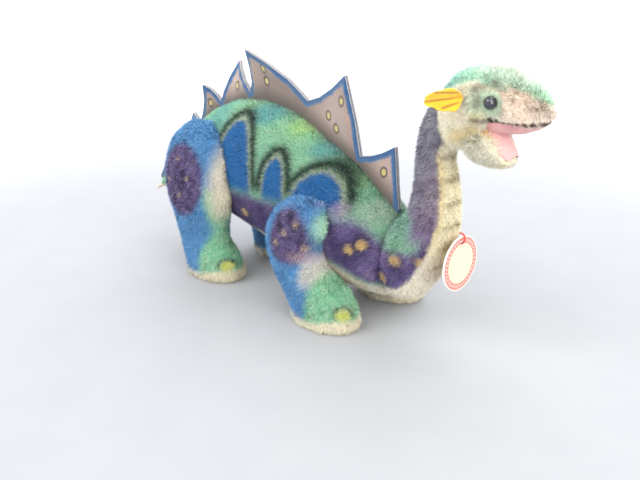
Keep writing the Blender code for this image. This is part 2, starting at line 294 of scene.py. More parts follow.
def joinNodes(nodes):
    bm = bmesh.new()
    for node in nodes:
        bm.from_mesh(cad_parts[node].data)
    bmesh.ops.remove_doubles(bm, verts=bm.verts, dist=0.00002)
    return bm


def bake(obj):
    # Keeps what the modifiers make as the object's own mesh.
    graph = bpy.context.evaluated_depsgraph_get()
    mesh = bpy.data.meshes.new_from_object(obj.evaluated_get(graph))
    obj.modifiers.clear()
    obj.data = mesh
    return mesh


# The stuffing's push, how far a cover is fitted back to its pattern, and how wide a sewn line sinks.
stuffing = {"pressure": 4, "steps": 20, "reach": 4.0, "seam width": 1.6}


def pump(obj, limit):
    # The stuffing's push: the cloth swells under pressure, but no point moves further than limit.
    start = readPoints(obj.data)
    cloth = obj.modifiers.new("fill", "CLOTH")
    cloth.settings.use_pressure = True
    cloth.settings.uniform_pressure_force = stuffing["pressure"]
    cloth.settings.effector_weights.gravity = 0
    cloth.point_cache.frame_start = 1
    cloth.point_cache.frame_end = stuffing["steps"]
    for step in range(1, stuffing["steps"] + 1):
        scene.frame_set(step)
    mesh = bake(obj)
    scene.frame_set(1)
    moved = readPoints(mesh) - start
    far = np.linalg.norm(moved, axis=1, keepdims=True)
    writePoints(mesh, start + moved * np.minimum(1, limit / np.maximum(far, 1e-9)))


def smooth(obj, times, factor=0.5):
    bm = bmesh.new()
    bm.from_mesh(obj.data)
    for _ in range(times):
        bmesh.ops.smooth_vert(bm, verts=bm.verts, factor=factor, use_axis_x=True,
                              use_axis_y=True, use_axis_z=True)
    bm.to_mesh(obj.data)
    bm.free()
    obj.data.update()


def makeCover(name, look):
    bm = joinNodes(look["from"])
    mesh = bpy.data.meshes.new(name)
    bm.to_mesh(mesh)
    bm.free()
    obj = newObject(name, mesh, backing)
    original = meshTree(mesh)
    remesh = obj.modifiers.new("remesh", "REMESH")
    remesh.mode = "VOXEL"
    remesh.voxel_size = look["voxel"] * mm
    bake(obj)
    pump(obj, look["swell"] * mm)
    smooth(obj, look["smooth"])
    finer = obj.modifiers.new("finer", "SUBSURF")
    finer.levels = finer.render_levels = 1
    mesh = bake(obj)
    mesh.materials.clear()
    mesh.materials.append(backing)
    # Back to the pattern's size, with the sewn lines drawn in.
    points, normals = readPoints(mesh), readNormals(mesh)
    skins = [nodeTree(node) for node in look["panels"]]
    gaps = np.array([distances(tree, points) for tree in skins])
    order = np.sort(gaps, axis=0)
    seam = order[1] - order[0] if len(skins) > 1 else np.full(len(points), 1.0)
    for index, point in enumerate(points.tolist()):
        hit, way, _, gap = original.find_nearest(point)
        offset = (Vector(point) - hit).dot(way)
        offset = max(-look["swell"] * mm, min(look["swell"] * mm, offset))
        if gap < stuffing["reach"] * mm:
            points[index] = hit + way * offset
    sink = np.exp(-((seam / mm / stuffing["seam width"]) ** 2))
    points -= normals * (look["tuck"] * mm * sink)[:, None]
    points[:, 2] = np.maximum(points[:, 2], 0.0002)
    writePoints(mesh, points)
    smooth(obj, 1, 0.4)
    mesh.shade_smooth()
    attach(obj, "toy")
    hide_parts(look["from"][0], *look["panels"])
    print(name, len(mesh.polygons), "faces")
    return obj


legNodes = {}
for end in ("front", "hind"):
    for side in ("right", "left"):
        stem = f"{end}_leg_{side}"
        legNodes[f"{end}Leg{side.capitalize()}"] = stem

# Each cover stands for its stuffing, which is the first node it is made from, and its panels.
covers = {
    "bodyCover": {
        "from": ["body_stuffing"],
        "panels": ["body_panel_right", "body_panel_left", "belly_gusset"],
        "voxel": 4.0, "swell": 1.2, "smooth": 2, "tuck": 0.5, "fill": 0.95},
    "neckCover": {
        "from": ["neck_stuffing"],
        "panels": ["neck_panel_right", "neck_panel_left", "throat_gusset"],
        "voxel": 3.0, "swell": 0.8, "smooth": 2, "tuck": 0.5, "fill": 0.95},
    "headCover": {
        "from": ["head_stuffing"], "panels": ["head_cap", "face_right", "face_left"],
        "voxel": 2.6, "swell": 0.6, "smooth": 1, "tuck": 0.4, "fill": 0.95},
    "jawCover": {
        "from": ["jaw_stuffing"], "panels": ["jaw_skin"],
        "voxel": 2.0, "swell": 0.5, "smooth": 1, "tuck": 0.0, "fill": 0.9},
}
for name, stem in legNodes.items():
    covers[name + "Cover"] = {
        "from": [stem + "_stuffing", stem + "_sole"], "panels": [stem + "_skin", stem + "_sole"],
        "voxel": 3.4, "swell": 1.0, "smooth": 2, "tuck": 0.3, "fill": 0.95}

made = {name: makeCover(name, look) for name, look in covers.items()}
coverTrees = {name: meshTree(obj.data) for name, obj in made.items()}
panelTrees = {node: nodeTree(node) for look in covers.values() for node in look["panels"]}


# The airbrushed colouring, in side view: x forward, z up.
torso = {
    "green": "6DB298", "teal": "4C9FA4", "lime": "A4D67C", "leaf": "7CBF92", "grey green": "93B09E",
    "crest shadow": "4C4A40", "purple": "5F4E8C", "deep purple": "3B3060", "violet": "82669F",
    "blue": "0062A3", "gold": "C8D08C", "outline": "101A1A", "mauve": "A588AE",
    "spot": "D2AC5C", "spot ring": "382A45", "tan": "E6DAC3", "white": "F4EFE2",
    # Clouds of spray: tone, centre, radii and strength.
    "clouds": [("teal", (-12, 106), (14, 8), 0.85), ("teal", (34, 91), (11, 6), 0.7),
               ("teal", (-52, 100), (16, 12), 0.6), ("teal", (-112, 68), (22, 10), 0.6),
               ("leaf", (14, 99), (17, 10), 0.9), ("lime", (15, 102), (9, 6), 0.8),
               ("lime", (58, 78), (8, 5), 0.3), ("lime", (-82, 92), (10, 6), 0.4),
               ("grey green", (74, 64), (12, 9), 0.7)],
    # Three round-topped lobes: middle x, foot z, half width and height.
    "lobes": [(-27, 60, 20, 45), (9, 60, 12, 29), (40, 58, 21, 26)],
    # Each spot: x, and how far up the purple flank it sits.
    "spots": [(65, 0.5), (72, 0.7), (84, 0.3), (92, 0.8), (104, 0.45), (30, 0.3), (-20, 0.5),
              (-52, 0.5), (-84, 0.5), (-104, 0.5)],
}
neckLook = {
    "grey": "827F97", "head end": "8F90A2", "pink": "B497AC", "ring": "3A3048", "throat": "FCF3D2",
    "throat edge": "F2DDA0", "smudge": "8E7848", "rings": (110, 84, 67), "ring x": 105,
    "first smudge": 42, "smudge step": 11.4, "smudges": 6}


def keelHeight(x):
    # Where the purple flank meets the pale belly: low at the chest, up to the throat and the tail.
    return (36 - 9 * rise(x, 40, 78) + 24 * rise(x, 92, 118) + 6 * rise(-x, 20, 90)
            - 13 * rise(-x, 90, 160))


def flankHeight(x):
    # The flank's upper edge, which dips at the shoulder.
    return 60 - 10 * rise(x, 64, 88) + 16 * rise(x, 98, 112) - 28 * rise(-x, 84, 165)


def paintTorso(p, n, panel, seam):
    look = torso
    flat = p[:, [0, 2]]
    x, across, z = p[:, 0], np.abs(p[:, 1]), p[:, 2]
    colour = np.tile(linear(look["green"]), (len(p), 1))
    colour = tint(colour, look["leaf"], 0.5 + 0.5 * wobble(p, 22, 3))
    colour = sprayClouds(colour, flat, look)
    near = (1 - rise(across, 1.5, 7.5)) * rise(n[:, 2], 0.1, 0.5) * (1 - rise(x, 74, 84))
    colour = tint(colour, look["crest shadow"], 0.4 * near * (1 - 0.8 * rise(x, 48, 62)))
    # The blue lobes, their gold inner line and soft black outline.
    wave = np.max([ovalDepth(flat, lobe[:2], lobe[2:]) for lobe in look["lobes"]], axis=0)
    fade = rise(z, 58, 70)
    low = rise(z, 56, 66)
    onSide = 1 - rise(x, 74, 80)
    colour = tint(colour, look["blue"], rise(wave, 1.2, 3.0) * low * onSide)
    speckled = (0.75 + 0.35 * wobble(p, 1.3, 37)) * bump(wave, 2.7, 0.85)
    colour = tint(colour, look["gold"], speckled * fade)
    colour = tint(colour, look["outline"], bump(wave, -0.5, 2.7) * fade)
    # The purple flank.
    keel, top = keelHeight(x), flankHeight(x)
    band = np.minimum(np.minimum(z - keel, top - z), 117 - x)
    patch = wobble(p, 9, 5)
    purple = rise(band, -3.0, 4.5)
    colour = tint(colour, look["purple"], purple)
    colour = tint(colour, look["deep purple"], purple * 0.75 * rise(patch, -0.1, 0.7))
    colour = tint(colour, look["violet"], purple * 0.7 * rise(-patch, 0.1, 0.8))
    rear = (1 - rise(x, -5, 40)) * rise(x, -75, -50)
    colour = tint(colour, look["deep purple"], purple * 0.7 * rear)
    colour = spray(colour, flat, look["mauve"], (56, 64), (7, 5), 0.55)
    for spotX, share in look["spots"]:
        foot, head = keelHeight(np.array(spotX)), flankHeight(np.array(spotX))
        far = ovalDistance(flat, (spotX, foot + share * (head - foot)), (2.5, 2.2))
        speckle = 0.55 + 0.45 * wobble(p, 1.4, 7)
        colour = tint(colour, look["spot ring"], 0.85 * bump(far, 1.65, 0.5) * speckle)
        colour = tint(colour, look["spot"], 0.95 * (1 - rise(far, 0.75, 1.35)))
    # Tan under the flank, whiter on the chest.
    under = np.maximum(rise(keel - z, -1.5, 3.0), (panel == 2) * (x < 82.3))
    belly = np.tile(linear(look["tan"]), (len(p), 1))
    belly = tint(belly, look["white"], rise(x, 55, 88) + 0.25 * wobble(p, 6, 9))
    return colour + (belly - colour) * np.clip(under, 0, 1)[:, None]


def paintNeck(p, n, panel, seam):
    look = neckLook
    flat = p[:, [0, 2]]
    x, across, z = p[:, 0], np.abs(p[:, 1]), p[:, 2]
    body = paintTorso(p, n, np.zeros(len(p)), seam)
    colour = np.tile(linear(look["grey"]), (len(p), 1))
    colour = tint(colour, torso["deep purple"], 0.32 * rise(wobble(p, 4, 11), 0.0, 0.8))
    colour = tint(colour, look["head end"], rise(z, 96, 122))
    colour = tint(colour, look["pink"], 0.6 * rise(x, 100, 112) * (1 - rise(z, 88, 104)))
    colour = tint(colour, torso["violet"], 0.8 * (1 - rise(z, 58, 80)))
    collar = 1 - rise(ovalDistance(flat, (91, 62), (10, 11)), 0.5, 1.1)
    colour = tint(colour, torso["green"], 0.85 * collar)
    for height in look["rings"]:
        far = ovalDistance(flat, (look["ring x"], height), (4.2, 4.6))
        speckle = 0.6 + 0.4 * wobble(p, 1.6, 13)
        colour = tint(colour, look["ring"], 0.75 * bump(far, 0.85, 0.25) * speckle)
    colour = tint(colour, look["ring"], 0.5 * rise(wobble(p, 2.4, 17), 0.45, 0.9) * rise(z, 56, 62))
    lower = 1 - rise(z, 50, 62)
    colour = colour + (body - colour) * lower[:, None]
    # The throat panel, with brown smudges across it.
    throat = np.tile(linear(look["throat"]), (len(p), 1))
    throat = tint(throat, look["throat edge"], 0.8 * (1 - rise(seam, 0.5, 3.0)) * rise(z, 48, 60))
    throat = tint(throat, torso["white"], 0.75 * (1 - rise(z, 42, 60)) + 0.5 * rise(z, 96, 106))
    for step in range(look["smudges"]):
        height = look["first smudge"] + step * look["smudge step"]
        level = bump(z + 0.12 * across, height + 1.5, 1.5) * (1 - rise(across, 2.5, 8.0))
        faint = 0.95 * level * (0.8 + 0.4 * wobble(p, 2.0, 19))
        throat = tint(throat, look["smudge"], faint)
    front = (panel == 2).astype(float) * rise(seam, -0.4, 0.4)
    return colour + (throat - colour) * front[:, None]


headLook = {
    "mint": "BFEBD0", "deep mint": "A2DEBD", "rear": "93CABD", "pale": "F0F7EC", "cream": "F6EFD8",
    "yellow": "F0DCA2", "grey": "C6C7B0", "eye green": "BBD8B8", "eye ring": "CFE8CC",
    "peach": "FFE9D8", "tip": "FFF2E8", "brow": "66503F", "brow grey": "77705F", "seam": "70604E",
    "lip": "37202A", "lip pink": "EFA9A6", "jaw": "FFFBEA", "jaw rim": "E2B04E",
    "eye": (138.0, 129.5),
    # Specks along the lip, evenly spaced on a line that sags in the middle.
    "specks": 8, "specks from": 137, "specks to": 158, "lip z": 121.5, "lip sag": 0.006,
    "brow centre": (137.2, 129.4), "brow radius": 7.5}


def lipSpecks():
    look = headLook
    across = np.linspace(look["specks from"], look["specks to"], look["specks"])
    middle = (look["specks from"] + look["specks to"]) / 2
    return np.column_stack([across, look["lip z"] + look["lip sag"] * (across - middle) ** 2])


def paintHead(p, n, panel, seam):
    look = headLook
    flat = p[:, [0, 2]]
    x, across, z = p[:, 0], np.abs(p[:, 1]), p[:, 2]
    cap = np.tile(linear(look["mint"]), (len(p), 1))
    cap = tint(cap, look["deep mint"], 0.45 + 0.5 * wobble(p, 7, 23))
    cap = tint(cap, look["rear"], 0.85 * (1 - rise(x, 114, 130)))
    # Painted highlight: the top of the cap is lightened towards white, standing for backlight shining
    # through the hair there.
    cap = tint(cap, look["pale"], 0.8 * rise(z + 0.3 * (x - 130), 137, 143.5))
    face = np.tile(linear(look["cream"]), (len(p), 1))
    warm = rise(wobble(p, 5, 25), 0.0, 0.9) * (1 - rise(x, 130, 142))
    face = tint(face, look["yellow"], 0.8 * warm)
    face = spray(face, flat, look["grey"], (127, 132), (9, 6), 0.6)
    face = spray(face, flat, look["eye green"], (136.5, 129.5), (9, 7), 0.85)
    face = tint(face, look["peach"], 0.95 * rise(x + 0.35 * (z - 128), 140.5, 146))
    face = tint(face, look["tip"], 0.6 * rise(x, 152, 160))
    # The brow is an arc round the top of the eye.
    brow = np.linalg.norm(flat - np.array(look["brow centre"]), axis=1)
    brow = np.abs(brow - look["brow radius"])
    face = spray(face, flat, look["brow grey"], (132.3, 130), (2.2, 3.6), 0.6)
    face = spray(face, flat, look["brow grey"], (143.5, 127), (2.4, 3), 0.4)
    ring = ovalDistance(flat, look["eye"], (4.9, 4.9))
    face = tint(face, look["eye ring"], 0.75 * (1 - rise(ring, 0.85, 1.15)))
    # Painted shade: a dark line along the seam under the cap's edge, towards the muzzle.
    edge = (1 - rise(seam, 0.2, 1.2)) * rise(x, 149, 153)
    face = tint(face, look["seam"], 0.25 * edge)
    corner = lineDistance(flat, [(131, 122.6), (141, 120.2)])
    face = tint(face, look["seam"], 0.75 * (1 - rise(corner, 0.5, 1.6)) * rise(across, 5, 8))
    face = tint(face, look["lip pink"], rise(118.8 - z, -0.6, 0.9) * rise(x, 133, 136))
    for spot in lipSpecks():
        far = np.linalg.norm(flat - spot, axis=1)
        face = tint(face, look["lip"], 0.95 * (1 - rise(far, 0.95, 1.45)))
    # The spray wraps a little way over the cap's seam at the muzzle.
    top = (panel == 0) * (1 - rise(x, 140, 147) * (1 - rise(seam, 1.8, 3.4)))
    colour = face + (cap - face) * top[:, None]
    smudge = (1 - rise(brow, 0.4, 1.8)) * rise(z, 132.5, 134.5) * (0.75 + 0.4 * wobble(p, 2.2, 27))
    return tint(colour, look["brow"], 0.7 * smudge)


def paintJaw(p, n, panel, seam):
    look = headLook
    colour = np.tile(linear(look["jaw"]), (len(p), 1))
    colour = tint(colour, look["yellow"], 0.4 * rise(wobble(p, 4, 29), 0.0, 0.9))
    flat = p[:, [0, 2]]
    rim = lineDistance(flat, [(131, 119), (146, 104)])
    return tint(colour, look["jaw rim"], 0.85 * (1 - rise(rim, 0.8, 2.4)))


frontLegLook = {
    "blue": "4A90C8", "mid blue": "3F7FBE", "purple": "5C4A88", "dark": "2C2140", "fleck": "B99A74",
    "green": "7AC79E",
    "mint": "B2E6CB", "cream": "E8DDC8", "pink": "C79FB2", "claw": "D3DB67", "claw edge": "33362C",
    "sole": "EEE6CB", "crease": "9A86B4",
    "clouds": [("mint", (56, 54), (9, 17), 0.95), ("mint", (72, 30), (8, 6), 0.35),
               ("cream", (48, 31), (6.5, 10), 0.7)],
    # The dark oval on the thigh, and its flecks as shares of the oval at a turn in degrees.
    "patch": (35, 49), "patch radii": (12, 15),
    "flecks": [(0.7, 50), (0.6, 205), (0.85, 340), (0.2, 110)],
    # The toe half is green in front of this x, which moves by "toe knee" up the shin.
    "toe x": 50.5, "toe knee": 0, "toe top": 70,
    "foot": (54, 28.5), "clawAt": -15.5}


def toeShare(flat, look):
    edge = look["toe x"] + look["toe knee"] * rise(flat[:, 1], 18, 36)
    return rise(np.minimum(flat[:, 0] - edge, look["toe top"] - flat[:, 1]), -3.0, 3.5)


def addFlecks(colour, flat, look):
    for share, turn in look["flecks"]:
        way = np.array([math.cos(math.radians(turn)), math.sin(math.radians(turn))])
        place = np.array(look["patch"]) + share * np.array(look["patch radii"]) * way
        far = np.linalg.norm(flat - place, axis=1)
        colour = tint(colour, look["fleck"], 0.85 * (1 - rise(far, 0.9, 2.0)))
    return colour


def paintPatch(colour, p, flat, look):
    patch = rise(ovalDepth(flat, look["patch"], look["patch radii"]), -2.6, 2.4)
    colour = tint(colour, look["purple"], patch)
    return tint(colour, look["dark"], patch * 0.7 * rise(wobble(p, 2.6, 33), 0.0, 0.5)), patch


def paintLeg(p, look):
    flat = p[:, [0, 2]]
    z = p[:, 2]
    colour = np.tile(linear(look["blue"]), (len(p), 1))
    colour = tint(colour, look["mid blue"], 0.5 * rise(wobble(p, 8, 31), 0, 0.8))
    colour = tint(colour, look["green"], toeShare(flat, look))
    colour = sprayClouds(colour, flat, look)
    colour, patch = paintPatch(colour, p, flat, look)
    colour = spray(colour, flat, look["pink"], (43, 39), (8, 4), 0.5)
    colour = tint(colour, look["dark"], patch * 0.5 * rise(wobble(p, 2.0, 35), 0.3, 0.7))
    colour = addFlecks(colour, flat, look)
    colour = spray(colour, flat, look["crease"], (50, 68), (7, 3), 0.5)
    # One painted claw at the front of the foot.
    side = np.sign(p[:, 1])
    centreX, centreY = look["foot"]
    turn = np.degrees(np.arctan2(side * p[:, 1] - centreY, p[:, 0] - centreX))
    claw = np.stack([(turn + look["clawAt"]) * 0.30, z - 11.3], axis=1)
    front = rise(p[:, 0] - centreX, 6, 9)
    far = ovalDistance(claw, (0, 0), (4.6, 3.3))
    colour = tint(colour, look["claw edge"], 0.9 * bump(far, 1.15, 0.24) * front * rise(z, 9, 11))
    colour = tint(colour, look["claw"], (1 - rise(far, 0.75, 1.0)) * front)
    ahead = rise(p[:, 0] - centreX, 0, 16)
    return tint(colour, look["sole"], 1 - rise(z - 2.2 * ahead, 5.0, 7.0))


def paintFrontLeg(p, n, panel, seam):
    return paintLeg(p, frontLegLook)


hindLegLook = dict(frontLegLook, **{
    "patch": (-60, 64), "patch radii": (19, 22),
    "flecks": [(0.6, 100), (0.55, 185), (0.45, 15), (0.4, 270)],
    "foot blue": "4F95CC", "toe x": -46, "toe knee": 5.5, "toe top": 61,
    "foot": (-47, 28.5)})


def paintHindLeg(p, n, panel, seam):
    look = hindLegLook
    flat = p[:, [0, 2]]
    z = p[:, 2]
    colour = paintLeg(p, dict(look, blue=look["foot blue"]))
    plain = np.tile(linear(look["blue"]), (len(p), 1))
    plain = tint(plain, look["green"], toeShare(flat, look))
    plain = addFlecks(paintPatch(plain, p, flat, look)[0], flat, look)
    # A cream front edge runs up the thigh.
    plain = tint(plain, look["cream"], 0.9 * rise(p[:, 0], -42, -33) * rise(z, 34, 46))
    return np.where((z < 30)[:, None], colour, plain)


# The pile: a thin tapered blade for each lock of hair.
def combBody(p, n):
    return np.column_stack([np.full(len(p), -1.0), np.zeros(len(p)), np.full(len(p), -0.45)])


def combDown(p, n):
    return np.column_stack([np.full(len(p), -0.12), 0.1 * np.sign(p[:, 1]), np.full(len(p), -1.0)])


def combHead(p, n):
    back = rise(p[:, 0], 118, 150)
    return np.column_stack([-1.0 + 0.3 * back, 0.2 * np.sign(p[:, 1]), -0.75 * np.ones(len(p))])


def combJaw(p, n):
    return np.column_stack([np.full(len(p), 0.9), np.zeros(len(p)), np.full(len(p), -0.4)])


def lengthTorso(p, n, panel, seam):
    return 3.4 - 0.7 * rise(-p[:, 0], 60, 140)


def lengthNeck(p, n, panel, seam):
    return 3.2 + 0.8 * (1 - rise(p[:, 2], 30, 50)) + 1.4 * rise(p[:, 2], 104, 116)


def lengthHead(p, n, panel, seam):
    x, z = p[:, 0], p[:, 2]
    full = 3.9 + (panel == 0) * (1.9 * rise(seam, 1, 6) - 1.2)
    full = full + (panel > 0) * (1 - rise(x, 122, 134)) * (1.2 + 2.2 * (1 - rise(z, 114, 121)))
    lip = rise(z + 0.15 * (x - 140), 119.5, 125)
    short = rise(x, 131, 135) * (1 - (0.62 + 0.38 * lip * (1 - 0.15 * rise(x, 140, 150))))
    full = np.where(panel == 0, full, full * (1 - short))
    lipLine = np.min([np.linalg.norm(p[:, [0, 2]] - spot, axis=1) for spot in lipSpecks()], axis=0)
    full *= 0.6 + 0.4 * rise(lipLine, 1.6, 3.0)
    eye = ovalDistance(p[:, [0, 2]], headLook["eye"], (6, 6))
    return np.where(panel == 0, full, full * (0.35 + 0.65 * rise(eye, 0.7, 1.5)))


def lengthJaw(p, n, panel, seam):
    return 6.2 - 3.4 * rise(p[:, 0], 128, 142)


def lengthLeg(p, n, panel, seam):
    return 3.0 + 1.4 * (1 - rise(p[:, 2], 5, 9))


def panelAndSeam(points, coverName):
    # The panel that each point belongs to, and its distance from the nearest sewn line.
    trees = [panelTrees[node] for node in covers[coverName]["panels"]]
    if len(trees) == 1:
        return np.zeros(len(points)), np.full(len(points), 9.0)
    gaps = np.array([distances(tree, points) for tree in trees])
    order = np.sort(gaps, axis=0)
    return gaps.argmin(axis=0), (order[1] - order[0]) / mm


def addPile(name, coverName, look):
    cover = made[coverName]
    mesh = cover.data
    mesh.calc_loop_triangles()
    faces = np.empty(len(mesh.loop_triangles) * 3, np.int32)
    mesh.loop_triangles.foreach_get("vertices", faces)
    faces = faces.reshape(-1, 3)
    points, normals = readPoints(mesh), readNormals(mesh)
    rng = np.random.default_rng(look["seed"])
    corners = points[faces]
    edges = corners[:, 1:] - corners[:, :1]
    area = np.linalg.norm(np.cross(edges[:, 0], edges[:, 1]), axis=1)
    count = look["count"]
    chosen = np.sort(rng.choice(len(faces), count, p=area / area.sum()))
    u, v = rng.random(count), rng.random(count)
    flip = u + v > 1
    u, v = np.where(flip, 1 - u, u), np.where(flip, 1 - v, v)
    share = np.stack([1 - u - v, u, v], axis=1)[:, :, None]
    root = (corners[chosen] * share).sum(axis=1)
    normal = unit((normals[faces[chosen]] * share).sum(axis=1))
    # Roots inside a neighbouring stuffed piece, under the eyes or below the floor are left out.
    keep = root[:, 2] > 0.0004
    if "half" in look:
        keep &= root[:, 1] * look["half"] > 0
    for other in look["clear of"]:
        tree = coverTrees[other]
        low = readPoints(made[other].data).min(axis=0) - 0.001
        high = readPoints(made[other].data).max(axis=0) + 0.001
        for index in np.nonzero(((root > low) & (root < high)).all(axis=1))[0]:
            hit, way, _, gap = tree.find_nearest(root[index].tolist())
            if (Vector(root[index]) - hit).dot(way) < -0.0004:
                keep[index] = False
    root, normal = root[keep], normal[keep]
    panel, seam = panelAndSeam(root, coverName)
    p = root / mm
    blurred = p + rng.normal(scale=look["blur"], size=p.shape)
    colour = look["paint"](blurred, normal, panel, seam)
    length = look["length"](p, normal, panel, seam) * rng.uniform(0.7, 1.12, len(p))
    tuft = wobble(p, look["tuft"], look["seed"] + 1)
    if "bald" in look:
        furry = ovalDistance(p[:, [0, 2]], *look["bald"]) > 1
        root, normal, p, colour, length, tuft = (
            values[furry] for values in (root, normal, p, colour, length, tuft))
    comb = look["comb"](p, normal)
    swirl = np.stack([wobble(p, look["swirl"], look["seed"] + k) for k in (2, 3, 4)], axis=1)
    comb = comb + swirl * look["unruly"] + rng.normal(scale=look["stray"], size=p.shape)
    flatComb = unit(comb - (comb * normal).sum(axis=1, keepdims=True) * normal)
    lean = np.radians(look["lean"] + 14 * tuft + rng.normal(scale=9, size=len(p)))[:, None]
    way = unit(normal * np.cos(lean) + flatComb * np.sin(lean))
    sideways = unit(np.cross(way, normal) + 0.35 * rng.normal(size=p.shape))
    sideways = unit(sideways - (sideways * way).sum(axis=1, keepdims=True) * way)
    # The blade's face looks outwards.
    facing = (np.cross(sideways, way) * normal).sum(axis=1, keepdims=True)
    sideways = np.where(facing < 0, -sideways, sideways)
    half = sideways * (look["width"] / 2 * mm)
    start = root - normal * 0.0002
    tip = start + way * (length * mm)[:, None]
    tip[:, 2] = np.maximum(tip[:, 2], 0.0003)
    blades = np.stack([start - half, start + half, tip], axis=1)
    blades[:, :2, 2] = np.maximum(blades[:, :2, 2], 0.0002)
    total = len(blades)
    hair = bpy.data.meshes.new(name)
    hair.vertices.add(total * 3)
    hair.vertices.foreach_set("co", blades.astype(np.float32).ravel())
    hair.loops.add(total * 3)
    hair.loops.foreach_set("vertex_index", np.arange(total * 3, dtype=np.int32))
    hair.polygons.add(total)
    hair.polygons.foreach_set("loop_start", np.arange(total, dtype=np.int32) * 3)
    hair.update(calc_edges=True)
    # Some hairs missed the spray and keep the pale mohair's own colour.
    blueness = rise(colour[:, 2] - colour[:, 0], 0.1, 0.35)
    pale = rise(colour.mean(axis=1), 0.03, 0.3) * (1 - 0.75 * blueness)
    missed = rng.random(total) ** 3 * look["frost"] * (0.4 + 3 * pale)
    colour = tint(colour, look["undyed"], missed)
    colour = np.clip(colour * rng.uniform(0.88, 1.12, (total, 1)), 0, 1)
    writePaint(hair, np.repeat(colour, 3, axis=0))
    setAttribute(hair, "height", "FLOAT", np.tile([0.0, 0.0, 1.0], total))
    # Each blade has its own cell of the map, beside those of the blades that grow near it.
    side = math.ceil(math.sqrt(total))
    cell = np.stack([np.arange(total) % side, np.arange(total) // side], axis=1)[:, None, :]
    inset = np.array([[0.12, 0.12], [0.88, 0.12], [0.5, 0.88]])[None]
    uvMap = hair.uv_layers.new(name="OFBake")
    uvMap.data.foreach_set("uv", ((cell + inset) / side).astype(np.float32).ravel())
    hair.shade_smooth()
    outward = np.cross(half, way) / np.linalg.norm(half, axis=1, keepdims=True)
    lift = unit(normal * 0.75 + outward * 0.45)
    hair.normals_split_custom_set_from_vertices(np.repeat(lift, 3, axis=0).tolist())
    obj = newObject(name, hair, pile)
    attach(obj, "toy")
    print(name, total, "blades")


def paintCover(coverName, paint):
    mesh = made[coverName].data
    points = readPoints(mesh)
    panel, seam = panelAndSeam(points, coverName)
    writePaint(mesh, np.clip(paint(points / mm, readNormals(mesh), panel, seam), 0, 1))


legs = ["frontLegRightCover", "frontLegLeftCover", "hindLegRightCover", "hindLegLeftCover"]
common = {"blur": 0.6, "tuft": 2.2, "swirl": 7, "unruly": 0.5, "stray": 0.75, "lean": 40,
          "width": 0.3, "frost": 0.16, "undyed": "F0EAD8"}
bodyHair = dict(common, count=340000, paint=paintTorso, comb=combBody, length=lengthTorso,
                **{"clear of": legs + ["neckCover"]})
piles = {
    "bodyPileRight": ("bodyCover", dict(bodyHair, seed=11, half=-1)),
    "bodyPileLeft": ("bodyCover", dict(bodyHair, seed=51, half=1)),
    "neckPile": ("neckCover", dict(common, seed=12, count=120000, paint=paintNeck, comb=combDown,
                                   length=lengthNeck, **{"clear of": ["bodyCover", "headCover"]})),
    "headPile": ("headCover", dict(common, seed=13, count=130000, paint=paintHead, comb=combHead,
                                   length=lengthHead, width=0.34, blur=0.25, stray=0.4,
                                   bald=(headLook["eye"], (3.1, 3.1)),
                                   **{"clear of": ["neckCover", "jawCover"]})),
    "jawPile": ("jawCover", dict(common, seed=14, count=34000, paint=paintJaw, comb=combJaw,
                                 length=lengthJaw, width=0.36, lean=42,
                                 **{"clear of": ["headCover"]})),
}
legHair = dict(common, count=72000, frost=0.24, comb=combDown, length=lengthLeg,
               **{"clear of": ["bodyCover"]})
for number, cover in enumerate(legs):
    paint = paintFrontLeg if cover.startswith("front") else paintHindLeg
    piles[cover.replace("Cover", "Pile")] = (cover, dict(legHair, seed=20 + number * 10, paint=paint))

for name, (coverName, look) in piles.items():
    paintCover(coverName, look["paint"])
    addPile(name, coverName, look)


# The felt crest, ears and mouth linings.
def refine(bm, longest):
    # Splits every edge longer than this, so that paint and softness can vary across the sheet.
    for _ in range(8):
        edges = [e for e in bm.edges if e.calc_length() > longest]
        if not edges:
            break
        bmesh.ops.subdivide_edges(bm, edges=edges, cuts=1)
        bmesh.ops.triangulate(bm, faces=bm.faces)


def makeSheet(name, node, longest, rounding=0):
    bm = joinNodes([node])
    refine(bm, longest * mm)
    for _ in range(rounding):
        bmesh.ops.smooth_vert(bm, verts=bm.verts, factor=0.5, use_axis_x=True, use_axis_y=True,
                              use_axis_z=True)
    bmesh.ops.recalc_face_normals(bm, faces=bm.faces)
    mesh = bpy.data.meshes.new(name)
    bm.to_mesh(mesh)
    bm.free()
    return mesh


crestLook = {
    "taupe": "8F7C74", "light taupe": "A89289", "shaded taupe": "77665F", "base": "453C36",
    "band": "265D8C", "deep band": "1B4874", "spot": "B5A568", "spot ring": "4A3C32",
    "band width": 2.8,
    # Each spot: x, and how far it sits below the free edge there.
    "spots": [(69, 11), (42, 12), (29, 13), (35, 23), (-22, 5.5), (-22, 13), (-54, 10), (-81, 10),
              (-104, 8), (-122, 5.5), (-139, 5)],
    "spot size": (2.4, 3.1),
    # Measured along the curve of the back, and up from it.
    "flat": (42, 270), "area": 4050}


